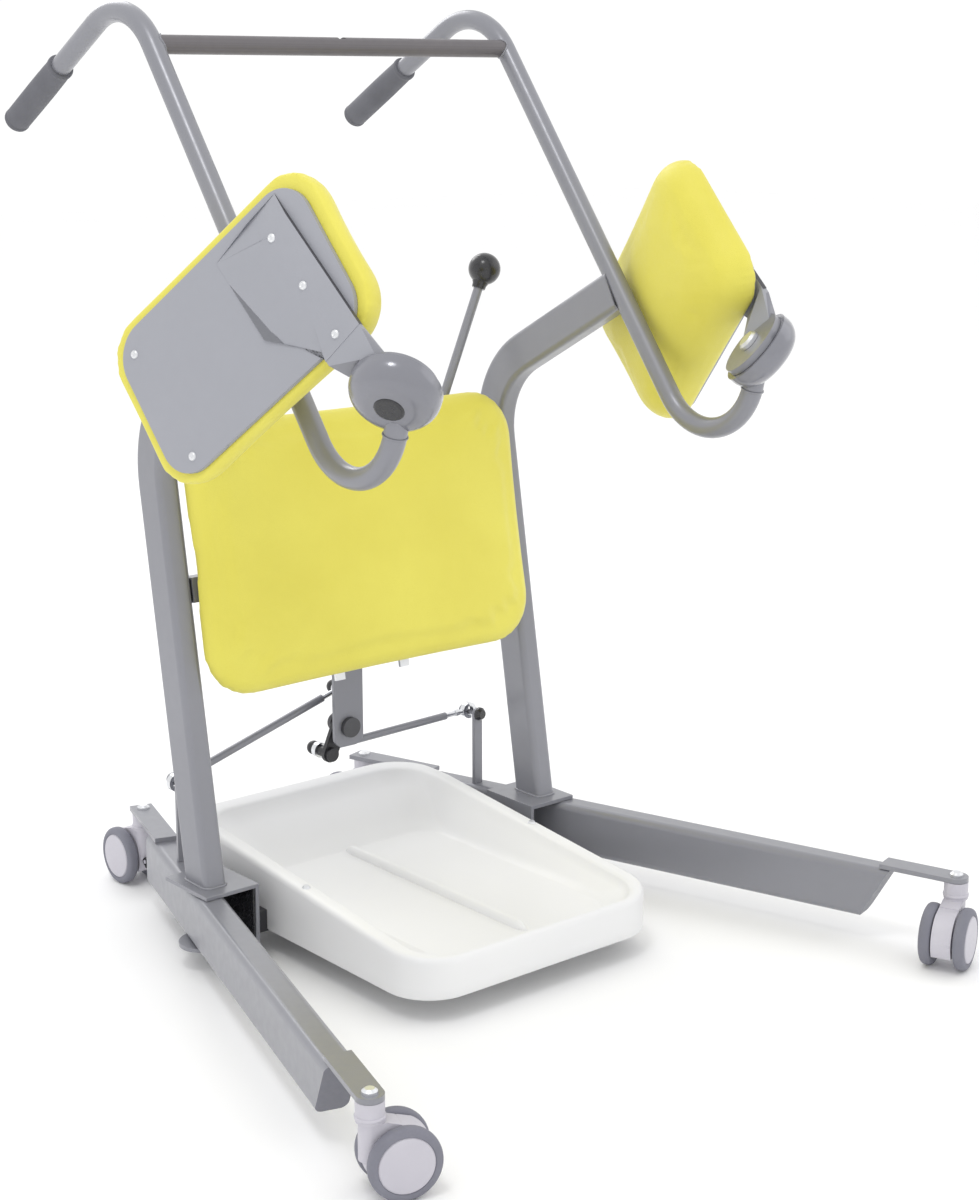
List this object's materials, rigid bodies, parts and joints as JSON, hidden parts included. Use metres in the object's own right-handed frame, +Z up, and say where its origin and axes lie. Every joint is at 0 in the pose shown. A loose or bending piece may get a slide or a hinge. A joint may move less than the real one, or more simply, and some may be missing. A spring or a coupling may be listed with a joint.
{
  "type": "patient turner",
  "caption": "Wheeled stand-and-turn aid with spreading legs, foot tray, padded knee rest and a bent tube frame whose padded seats swing up and over to close behind the patient.",
  "frame": {"origin": "bottom centre of the bounding box with the legs spread, on the floor", "axes": "+Z up, +Y towards the carer's grips, the patient stands on the tray facing +Y, +X to the patient's right"},
  "size_m": [0.9125, 1.0165, 1.1324],
  "materials": {
    "frame_paint": "satin",
    "dark_bar": "satin",
    "grip": "matte",
    "cushion": "satin",
    "board": "satin",
    "tray": "gloss",
    "black_metal": "satin",
    "black_plastic": "satin",
    "zinc": "satin",
    "chrome": "polished",
    "caster_body": "satin",
    "tyre": "matte"
  },
  "bodies": {
    "frame": {"left_upright": "frame_paint", "right_upright": "frame_paint", "left_side_tube": "frame_paint", "right_side_tube": "frame_paint", "left_grip": "grip", "right_grip": "grip", "hand_bar": "dark_bar", "left_base_bracket": "frame_paint", "right_base_bracket": "frame_paint", "base_crossmember": "black_metal", "leg_pivot_bolts": "black_metal", "foot_tray": "tray", "tray_rivets": "zinc", "left_hub_housing": "frame_paint", "right_hub_housing": "frame_paint", "hub_caps": "black_plastic", "seat_pivot_bolts": "zinc", "knee_crossbar": "frame_paint", "knee_board": "board", "knee_pad": "cushion", "knee_pad_clips": "zinc", "lever_bracket": "frame_paint", "lever_pivot_bolt": "black_metal"},
    "lever": {"lever_crank": "black_metal", "lever_rod": "frame_paint", "lever_knob": "black_plastic"},
    "left_linkage": {"left_tie_rod": "frame_paint", "left_rod_ends": "chrome"},
    "left_leg_unit": {"left_leg": "frame_paint", "left_caster_arms": "frame_paint", "left_crank_post": "frame_paint", "left_caster_bolts": "zinc"},
    "left_seat": {"left_seat_arm": "frame_paint", "left_seat_board": "board", "left_seat_pad": "cushion", "left_seat_screws": "zinc"},
    "right_linkage": {"right_tie_rod": "frame_paint", "right_rod_ends": "chrome"},
    "right_leg_unit": {"right_leg": "frame_paint", "right_caster_arms": "frame_paint", "right_crank_post": "frame_paint", "right_caster_bolts": "zinc"},
    "right_seat": {"right_seat_arm": "frame_paint", "right_seat_board": "board", "right_seat_pad": "cushion", "right_seat_screws": "zinc"},
    "front_left_caster": {"front_left_fork": "caster_body"},
    "front_left_wheel_a_spin_body": {"front_left_wheel_a": "tyre"},
    "front_left_wheel_b_spin_body": {"front_left_wheel_b": "tyre"},
    "front_right_caster": {"front_right_fork": "caster_body"},
    "front_right_wheel_a_spin_body": {"front_right_wheel_a": "tyre"},
    "front_right_wheel_b_spin_body": {"front_right_wheel_b": "tyre"},
    "rear_left_caster": {"rear_left_fork": "caster_body"},
    "rear_left_wheel_a_spin_body": {"rear_left_wheel_a": "tyre"},
    "rear_left_wheel_b_spin_body": {"rear_left_wheel_b": "tyre"},
    "rear_left_pedal": {"rear_left_brake": "black_plastic"},
    "rear_right_caster": {"rear_right_fork": "caster_body"},
    "rear_right_wheel_a_spin_body": {"rear_right_wheel_a": "tyre"},
    "rear_right_wheel_b_spin_body": {"rear_right_wheel_b": "tyre"},
    "rear_right_pedal": {"rear_right_brake": "black_plastic"}
  },
  "joints": [
    {"name": "lever_swing", "type": "hinge", "parent": "frame", "child": "lever", "pos_m": [0, 0.19154, 0.231], "axis": [0, 1, 0], "range_deg": [-46.4, 0]},
    {"name": "left_linkage_pivot", "type": "hinge", "parent": "lever", "child": "left_linkage", "pos_m": [0.01637, 0.21864, 0.2692], "axis": [0, 1, 0], "range_deg": [0, 46.4]},
    {"name": "left_leg_pivot", "type": "hinge", "parent": "frame", "child": "left_leg_unit", "pos_m": [-0.265, 0.11154, 0.0655], "axis": [0, 0, 1], "range_deg": [0, 17]},
    {"name": "left_seat_swing", "type": "hinge", "parent": "frame", "child": "left_seat", "pos_m": [-0.26, -0.27648, 0.74095], "axis": [0.6497, 0.4203, 0.6334], "range_deg": [0, 170]},
    {"name": "right_linkage_pivot", "type": "hinge", "parent": "lever", "child": "right_linkage", "pos_m": [-0.01637, 0.21864, 0.1928], "axis": [0, 1, 0], "range_deg": [0, 46.4]},
    {"name": "right_leg_pivot", "type": "hinge", "parent": "frame", "child": "right_leg_unit", "pos_m": [0.265, 0.11154, 0.0655], "axis": [0, 0, 1], "range_deg": [-17, 0]},
    {"name": "right_seat_swing", "type": "hinge", "parent": "frame", "child": "right_seat", "pos_m": [0.26, -0.27648, 0.74095], "axis": [0.6497, -0.4203, -0.6334], "range_deg": [0, 170]},
    {"name": "front_left_swivel", "type": "hinge", "parent": "left_leg_unit", "child": "front_left_caster", "pos_m": [-0.43896, -0.45747, 0.08], "axis": [0, 0, 1], "continuous": true},
    {"name": "front_left_wheel_a_spin", "type": "hinge", "parent": "front_left_caster", "child": "front_left_wheel_a_spin_body", "pos_m": [-0.40557, -0.44759, 0.0375], "axis": [0.342, 0.9397, 0], "continuous": true},
    {"name": "front_left_wheel_b_spin", "type": "hinge", "parent": "front_left_caster", "child": "front_left_wheel_b_spin_body", "pos_m": [-0.41973, -0.48649, 0.0375], "axis": [0.342, 0.9397, 0], "continuous": true},
    {"name": "front_right_swivel", "type": "hinge", "parent": "right_leg_unit", "child": "front_right_caster", "pos_m": [0.43896, -0.45747, 0.08], "axis": [0, 0, 1], "continuous": true},
    {"name": "front_right_wheel_a_spin", "type": "hinge", "parent": "front_right_caster", "child": "front_right_wheel_a_spin_body", "pos_m": [0.42128, -0.48746, 0.0375], "axis": [0.3907, -0.9205, 0], "continuous": true},
    {"name": "front_right_wheel_b_spin", "type": "hinge", "parent": "front_right_caster", "child": "front_right_wheel_b_spin_body", "pos_m": [0.4051, -0.44935, 0.0375], "axis": [0.3907, -0.9205, 0], "continuous": true},
    {"name": "rear_left_swivel", "type": "hinge", "parent": "left_leg_unit", "child": "rear_left_caster", "pos_m": [-0.18021, 0.38887, 0.08], "axis": [0, 0, 1], "continuous": true},
    {"name": "rear_left_wheel_a_spin", "type": "hinge", "parent": "rear_left_caster", "child": "rear_left_wheel_a_spin_body", "pos_m": [-0.20091, 0.41686, 0.0375], "axis": [-1, 0, 0], "continuous": true},
    {"name": "rear_left_wheel_b_spin", "type": "hinge", "parent": "rear_left_caster", "child": "rear_left_wheel_b_spin_body", "pos_m": [-0.15951, 0.41686, 0.0375], "axis": [-1, 0, 0], "continuous": true},
    {"name": "rear_left_brake_press", "type": "hinge", "parent": "rear_left_caster", "child": "rear_left_pedal", "pos_m": [-0.18021, 0.37187, 0.038], "axis": [1, 0, 0], "range_deg": [0, 22]},
    {"name": "rear_right_swivel", "type": "hinge", "parent": "right_leg_unit", "child": "rear_right_caster", "pos_m": [0.18021, 0.38887, 0.08], "axis": [0, 0, 1], "continuous": true},
    {"name": "rear_right_wheel_a_spin", "type": "hinge", "parent": "rear_right_caster", "child": "rear_right_wheel_a_spin_body", "pos_m": [0.15951, 0.41686, 0.0375], "axis": [-1, 0, 0], "continuous": true},
    {"name": "rear_right_wheel_b_spin", "type": "hinge", "parent": "rear_right_caster", "child": "rear_right_wheel_b_spin_body", "pos_m": [0.20091, 0.41686, 0.0375], "axis": [-1, 0, 0], "continuous": true},
    {"name": "rear_right_brake_press", "type": "hinge", "parent": "rear_right_caster", "child": "rear_right_pedal", "pos_m": [0.18021, 0.37187, 0.038], "axis": [1, 0, 0], "range_deg": [0, 22]}
  ],
  "couplings": [
    {"joint": "left_linkage_pivot", "follows": "lever_swing", "ratio": -1},
    {"joint": "left_leg_pivot", "follows": "lever_swing", "ratio": -0.36638},
    {"joint": "right_linkage_pivot", "follows": "lever_swing", "ratio": -1},
    {"joint": "right_leg_pivot", "follows": "lever_swing", "ratio": 0.36638}
  ]
}
